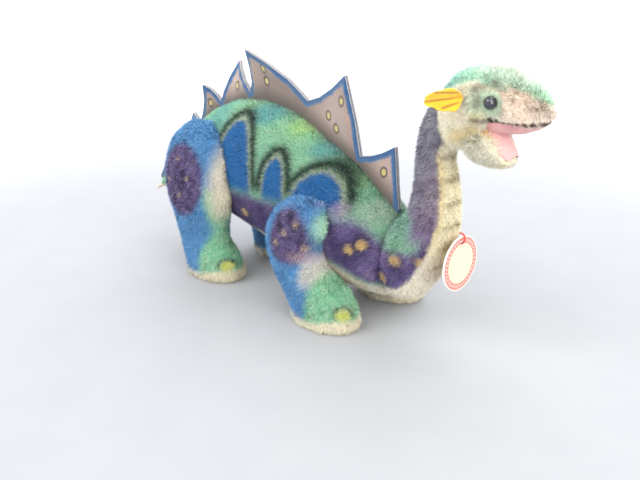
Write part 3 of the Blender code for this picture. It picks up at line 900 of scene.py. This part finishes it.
def makeCrestFelt():
    # Thick pressed felt with an airbrushed blue border, its cut edge left unpainted.
    material, tree, shader = newMaterial("crestFelt", Roughness=0.92, Sheen_Weight=0.3,
                                         Sheen_Roughness=0.6)
    paint = addNode(tree, "Attribute", attribute_name="paint")
    edge = addNode(tree, "Attribute", attribute_name="edgeDistance")
    spot = addNode(tree, "Attribute", attribute_name="spotDistance")
    place = addNode(tree, "TexCoord")
    fibres = addNoise(tree, place, 2400.0, 4.0, 0.7)
    mottle = addNoise(tree, place, 420.0, 3.0)
    ragged = remap(tree, mottle.outputs["Fac"], (0.3, 0.7), (-0.45, 0.45))
    edgeAt = addNode(tree, "Math", {0: edge.outputs["Fac"], 1: ragged.outputs[0]}, operation="ADD")
    width = crestLook["band width"]
    band = remap(tree, edgeAt.outputs[0], (width * 0.75, width * 1.45), (1.0, 0.0),
                  interpolation_type="SMOOTHSTEP")
    deep = remap(tree, edgeAt.outputs[0], (0.2, width), (0.0, 0.8))
    blue = mixed(tree, deep.outputs[0], rgba(crestLook["deep band"]), rgba(crestLook["band"]))
    inner = remap(tree, spot.outputs["Fac"], (0.5, 0.68), (1.0, 0.0),
                  interpolation_type="SMOOTHSTEP")
    outer = remap(tree, spot.outputs["Fac"], (0.95, 1.15), (0.85, 0.0),
                  interpolation_type="SMOOTHSTEP")
    ringed = mixed(tree, outer.outputs[0], paint.outputs["Color"], rgba(crestLook["spot ring"]))
    spotted = mixed(tree, inner.outputs[0], ringed.outputs["Result"], rgba(crestLook["spot"]))
    banded = mixed(tree, band.outputs[0], spotted.outputs["Result"], blue.outputs["Result"])
    fine = remap(tree, fibres.outputs["Fac"], (0.3, 0.7), (0.82, 1.16))
    shade = scaled(tree, banded.outputs["Result"], fine.outputs[0])
    relief = addNode(tree, "Bump", {"Height": fibres.outputs["Fac"], "Strength": 0.5,
                                    "Distance": 0.0003})
    tree.links.new(shade.outputs[0], shader.inputs["Base Color"])
    tree.links.new(relief.outputs[0], shader.inputs["Normal"])
    return material


def topLine(points):
    # The free edge: the highest point of each column of the sheet.
    columns = {}
    for point in points:
        key = round(point[0] * 10)
        if key not in columns or point[2] > columns[key][2]:
            columns[key] = point
    return np.array([columns[key] for key in sorted(columns)])


def makeCrest(name, node):
    look = crestLook
    rim = topLine(readPoints(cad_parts[node].data) / mm)
    mesh = makeSheet(name, node, 1.6)
    p = readPoints(mesh) / mm
    edge = np.full(len(p), 1e9)
    for start, end in zip(rim[:-1], rim[1:]):
        way = end - start
        along = np.clip(((p - start) @ way) / (way @ way), 0, 1)
        edge = np.minimum(edge, np.linalg.norm(p - start - along[:, None] * way, axis=1))
    flat = p[:, [0, 2]]
    spots = [(x, np.interp(x, rim[:, 0], rim[:, 2]) - drop) for x, drop in look["spots"]]
    spot = np.min([ovalDistance(flat, place, look["spot size"]) for place in spots], axis=0)
    colour = np.tile(linear(look["taupe"]), (len(p), 1))
    colour = tint(colour, look["light taupe"], 0.6 + 0.5 * wobble(p, 14, 41))
    # Painted light and shade: the spike around x -60 is lit paler and the crest around x -5 shaded
    # darker, as they turn towards or away from the light.
    colour = spray(colour, flat, look["shaded taupe"], (-5, 118), (34, 18), 0.9)
    colour = spray(colour, flat, look["light taupe"], (-60, 116), (18, 18), 0.9)
    # Painted shade: the felt darkens within 14 mm of the back it stands on.
    above = distances(coverTrees["bodyCover"], p * mm) / mm
    colour = tint(colour, look["base"], 0.9 * (1 - rise(above, 2.0, 14.0)))
    writePaint(mesh, colour)
    setAttribute(mesh, "edgeDistance", "FLOAT", edge)
    setAttribute(mesh, "spotDistance", "FLOAT", spot)
    obj = newObject(name, mesh, crestFelt)
    mesh.materials.append(cutEdge)
    for face in mesh.polygons:
        if abs(face.normal.y) < 0.45 and min(edge[i] for i in face.vertices) < 0.8:
            face.material_index = 1
    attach(obj, "toy")
    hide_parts(node)


def plainPaint(mesh, hexColour, deeper, patch, seed):
    p = readPoints(mesh) / mm
    colour = np.tile(linear(hexColour), (len(p), 1))
    return p, tint(colour, deeper, 0.4 * rise(wobble(p, patch, seed), -0.2, 0.9))


crestFelt = makeCrestFelt()
# Cut felt: dry pale wool fibres, which show as a light speckled line round the crest.
cutEdge, cutTree, cutShader = newMaterial("feltCutEdge", Roughness=0.95)
cutPlace = addNode(cutTree, "TexCoord")
cutNoise = addNode(cutTree, "TexNoise", {"Vector": cutPlace.outputs["Object"], "Scale": 2600.0})
cutMix = mixed(cutTree, cutNoise.outputs["Fac"], rgba("8A8F9C"), rgba("BDB3A8"))
cutTree.links.new(cutMix.outputs["Result"], cutShader.inputs["Base Color"])

for side in ("Right", "Left"):
    makeCrest("crest" + side, "crest_felt_" + side.lower())

earLook = {"yellow": "F7BC2C", "deep": "E39E18", "vein": "7E5220", "base": (126.0, 17.4, 131.5),
           "lobe width": 5.8, "low lobe": 0.25, "flat": (14, 18.5), "area": 180}


def makeEar(name, node, side):
    look = earLook
    mesh = makeSheet(name, node, 0.7, 1)
    p, colour = plainPaint(mesh, look["yellow"], look["deep"], 6, 43)
    base = np.array(look["base"]) * (1, side, 1)
    axis = p[np.linalg.norm(p - base, axis=1).argmax()] - base
    length = np.linalg.norm(axis)
    axis /= length
    along = (p - base) @ axis
    offset = p - base - along[:, None] * axis
    across = np.linalg.norm(offset, axis=1)
    lower = offset[:, 2] < 0
    # Rounds each pointed lobe: the widest point at every step along it is moved to an oval.
    share = np.clip(along / length, 0, 1)
    steps = np.round(share * 24)
    widest = np.array([across[(np.abs(steps - step) < 1.5)].max() for step in range(25)])
    now = np.interp(share * 24, np.arange(25), widest)
    oval = look["lobe width"] * np.sqrt(np.clip(1 - ((share - 0.5) / 0.56) ** 2, 0.02, 1))
    grow = np.clip(oval / np.maximum(now, 0.4), 0.6, 4.0)
    grow = 1 + (grow - 1) * rise(share, 0.2, 0.5)
    # The tip is blunt.
    along = along * 1.08 - length * 0.15 * rise(share, 0.8, 1.0)
    # The lower lobe is the shorter one.
    reach = rise(across / np.maximum(now, 0.6), 0.45, 0.8) * lower
    shorter = along * (1 - look["low lobe"] * reach)
    points = base + offset * grow[:, None] + shorter[:, None] * axis
    # A stitched vein down each lobe and one along the fold.
    for line in ([(0, 0.3), (0.9, 0.3)], [(0.12, 0.5), (0.62, 0.75)]):
        flat = np.column_stack([share * length, across * grow])
        ends = [(a * length, b * look["lobe width"] if b > 0.4 else b) for a, b in line]
        colour = tint(colour, look["vein"], 0.75 * (1 - rise(lineDistance(flat, ends), 0.2, 0.75)))
    colour = tint(colour, look["deep"], 0.6 * (1 - rise(along, 0, 5)))
    writePoints(mesh, points * mm)
    writePaint(mesh, colour)
    obj = newObject(name, mesh, plainFelt)
    smooth(obj, 2, 0.4)
    mesh.shade_smooth()
    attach(obj, node)
    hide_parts(node)


makeEar("earFeltRight", "ear_right", -1)
makeEar("earFeltLeft", "ear_left", 1)

# "back" is the x of the corner of the mouth, which stays in place.
mouthLook = {"back": 132, "pink": "D89F9D", "deep": "BE7C7D", "tongue": "E2ADAA", "rim": "DDAE55"}


def makeLining(name, node, colours, inset):
    # The felt sits inside the furry lips, so it is drawn in from them.
    mesh = makeSheet(name, node, 1.4, 3)
    points = readPoints(mesh)
    points[:, 1] *= inset["across"]
    back = mouthLook["back"] * mm
    points[:, 0] = back + (points[:, 0] - back) * inset["along"]
    points[:, 2] += (inset["up"] + inset["tip up"] * rise(points[:, 0] / mm, 140, 156)) * mm
    writePoints(mesh, points)
    p, colour = plainPaint(mesh, colours[0], colours[1], 5, 47)
    # Painted shade: the lining darkens towards the back of the mouth.
    colour = tint(colour, mouthLook["deep"], 0.6 * (1 - rise(p[:, 0], 132, 140)))
    colour = tint(colour, mouthLook["rim"], inset["rim"] * rise(np.abs(p[:, 1]), 6.6, 7.4))
    writePaint(mesh, colour)
    obj = newObject(name, mesh, plainFelt)
    mesh.shade_smooth()
    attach(obj, "toy")
    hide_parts(node)


makeLining("mouthRoofFelt", "mouth_roof_felt", (mouthLook["pink"], mouthLook["deep"]),
           {"across": 0.7, "along": 0.95, "up": -0.6, "tip up": 2.6, "rim": 0.0,
            "flat": (24, 27), "area": 500, "on": "headCover"})
makeLining("mouthFloorFelt", "mouth_floor_felt", (mouthLook["tongue"], mouthLook["pink"]),
           {"across": 0.72, "along": 0.99, "up": 0.6, "tip up": 0.0, "rim": 0.8,
            "flat": (20, 21), "area": 300, "on": "jawCover"})
print("felt pieces made")


# Pieces carried over from the frame: eyes, tag and its thread.
def dress(node, material):
    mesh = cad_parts[node].data
    mesh.materials.clear()
    mesh.materials.append(material)


def makeGlass():
    # Blown black glass eye: deep, almost blue black, with a sharp wet highlight.
    material, tree, shader = newMaterial("blackGlassEye", Roughness=0.06, IOR=1.52,
                                         Coat_Weight=1.0, Coat_Roughness=0.03)
    place = addNode(tree, "TexCoord")
    depth = addNoise(tree, place, 700.0, 2.0)
    colour = mixed(tree, depth.outputs["Fac"], rgba("050608"), rgba("252A3A"))
    tree.links.new(colour.outputs["Result"], shader.inputs["Base Color"])
    return material


tagLook = {"ring": "F08A80", "cream": "FBEBC0", "edge": "FBF6EC", "centre": (119.85, 0.0, 45.9),
           "ring from": 10.5, "ring to": 13.9, "dots": 36.0, "dots at": 12.2}


def makeCard():
    # Printed card: a coral ring round a plain cream middle, with a faint paper tooth.
    material, tree, shader = newMaterial("printedCard", Roughness=0.42, Coat_Weight=0.15)
    place = addNode(tree, "TexCoord")
    middle = addNode(tree, "VectorMath", {0: place.outputs["Object"],
                                          1: Vector(tagLook["centre"]) * mm}, operation="SUBTRACT")
    flat = addNode(tree, "VectorMath", {0: middle.outputs[0], 1: (0.0, 1000.0, 1000.0)},
                   operation="MULTIPLY")
    radius = addNode(tree, "VectorMath", {0: flat.outputs[0]}, operation="LENGTH")
    start = addNode(tree, "MapRange", {"Value": radius.outputs["Value"],
                                       "From Min": tagLook["ring from"],
                                       "From Max": tagLook["ring from"] + 0.15})
    end = addNode(tree, "MapRange", {"Value": radius.outputs["Value"],
                                     "From Min": tagLook["ring to"],
                                     "From Max": tagLook["ring to"] + 0.15})
    tooth = addNoise(tree, place, 1800.0, 3.0)
    ring = mixed(tree, start.outputs[0], rgba(tagLook["cream"]), rgba(tagLook["ring"]))
    edge = mixed(tree, end.outputs[0], ring.outputs["Result"], rgba(tagLook["edge"]))
    # A row of pale dots runs round the ring.
    parts = addNode(tree, "SeparateXYZ", {0: flat.outputs[0]})
    turn = addNode(tree, "Math", {0: parts.outputs["Y"], 1: parts.outputs["Z"]},
                   operation="ARCTAN2")
    wave = addNode(tree, "Math", {0: turn.outputs[0], 1: tagLook["dots"]}, operation="MULTIPLY")
    beat = addNode(tree, "Math", {0: wave.outputs[0]}, operation="COSINE")
    off = addNode(tree, "Math", {0: radius.outputs["Value"], 1: tagLook["dots at"]},
                  operation="SUBTRACT")
    size = addNode(tree, "Math", {0: off.outputs[0], 1: off.outputs[0]}, operation="MULTIPLY")
    inside = addNode(tree, "Math", {0: beat.outputs[0], 1: size.outputs[0]}, operation="SUBTRACT")
    dot = addNode(tree, "MapRange", {"Value": inside.outputs[0], "From Min": 0.5, "From Max": 0.75})
    dotted = mixed(tree, dot.outputs[0], edge.outputs["Result"], rgba(tagLook["edge"]))
    level = remap(tree, tooth.outputs["Fac"], (0, 1), (0.93, 1.05))
    shade = scaled(tree, dotted.outputs["Result"], level.outputs[0])
    relief = addNode(tree, "Bump", {"Height": tooth.outputs["Fac"], "Strength": 0.12,
                                    "Distance": 0.0001})
    tree.links.new(shade.outputs[0], shader.inputs["Base Color"])
    tree.links.new(relief.outputs[0], shader.inputs["Normal"])
    return material


def makeThread():
    # Twisted cotton thread, drawn with a twist of 0.8 mm so that it shows.
    material, tree, shader = newMaterial("twistedCotton", Roughness=0.8, Sheen_Weight=0.3)
    place = addNode(tree, "TexCoord")
    twist = addNode(tree, "TexWave", {"Vector": place.outputs["Object"], "Scale": 380.0,
                                      "Distortion": 1.0}, bands_direction="DIAGONAL")
    colour = mixed(tree, twist.outputs["Fac"], rgba("B4302C"), rgba("E0564C"))
    relief = addNode(tree, "Bump", {"Height": twist.outputs["Fac"], "Strength": 0.6,
                                    "Distance": 0.0002})
    tree.links.new(colour.outputs["Result"], shader.inputs["Base Color"])
    tree.links.new(relief.outputs[0], shader.inputs["Normal"])
    return material


glass = makeGlass()
dress("eye_right", glass)
dress("eye_left", glass)
dress("tag_card", makeCard())
dress("tag_thread", makeThread())


# The floor and soft daylight.
floorLook = {"near": "AAACB0", "grain": "B2B4B7", "far": "E4E6E8"}


def makeFloor():
    # Smooth painted board: dull grey near the toy, paling into the room further off.
    material, tree, shader = newMaterial("paleFloor", Roughness=0.7)
    place = addNode(tree, "TexCoord")
    grain = addNoise(tree, place, 30.0, 4.0)
    near = mixed(tree, grain.outputs["Fac"], rgba(floorLook["near"]), rgba(floorLook["grain"]))
    far = addNode(tree, "VectorMath", {0: place.outputs["Object"]}, operation="LENGTH")
    share = addNode(tree, "MapRange", {"Value": far.outputs["Value"], "From Min": 0.25,
                                       "From Max": 0.8}, interpolation_type="SMOOTHSTEP")
    colour = mixed(tree, share.outputs["Result"], near.outputs["Result"], rgba(floorLook["far"]))
    tree.links.new(colour.outputs["Result"], shader.inputs["Base Color"])
    bm = bmesh.new()
    bmesh.ops.create_grid(bm, x_segments=1, y_segments=1, size=12)
    mesh = bpy.data.meshes.new("floor")
    bm.to_mesh(mesh)
    bm.free()
    floor = newObject("floor", mesh, material)


# Directions that the light comes from; strengths in watts per square metre, spreads in degrees.
lights = {
    "window": {"from": (-0.35, -0.9, 0.9), "strength": 1.75, "spread": 50, "colour": "FFFFFF"},
    "side": {"from": (1.0, -0.35, 0.5), "strength": 2.05, "spread": 50, "colour": "FFFBF4"},
    "back": {"from": (-0.4, 0.7, 0.9), "strength": 1.6, "spread": 60, "colour": "F4F8FF"}}


def makeLight(name, look):
    data = bpy.data.lights.new(name, "SUN")
    data.energy = look["strength"]
    data.angle = math.radians(look["spread"])
    data.color = linear(look["colour"])
    obj = bpy.data.objects.new(name, data)
    scene.collection.objects.link(obj)
    obj.rotation_mode = "QUATERNION"
    obj.rotation_quaternion = (-Vector(look["from"])).to_track_quat("-Z", "Y")


makeFloor()
for name, look in lights.items():
    makeLight(name, look)
world = bpy.data.worlds.new("room")
world.use_nodes = True
scene.world = world
world.node_tree.nodes["Background"].inputs["Color"].default_value = rgba("FFFFFF")
world.node_tree.nodes["Background"].inputs["Strength"].default_value = 1.0
print("light and floor set")
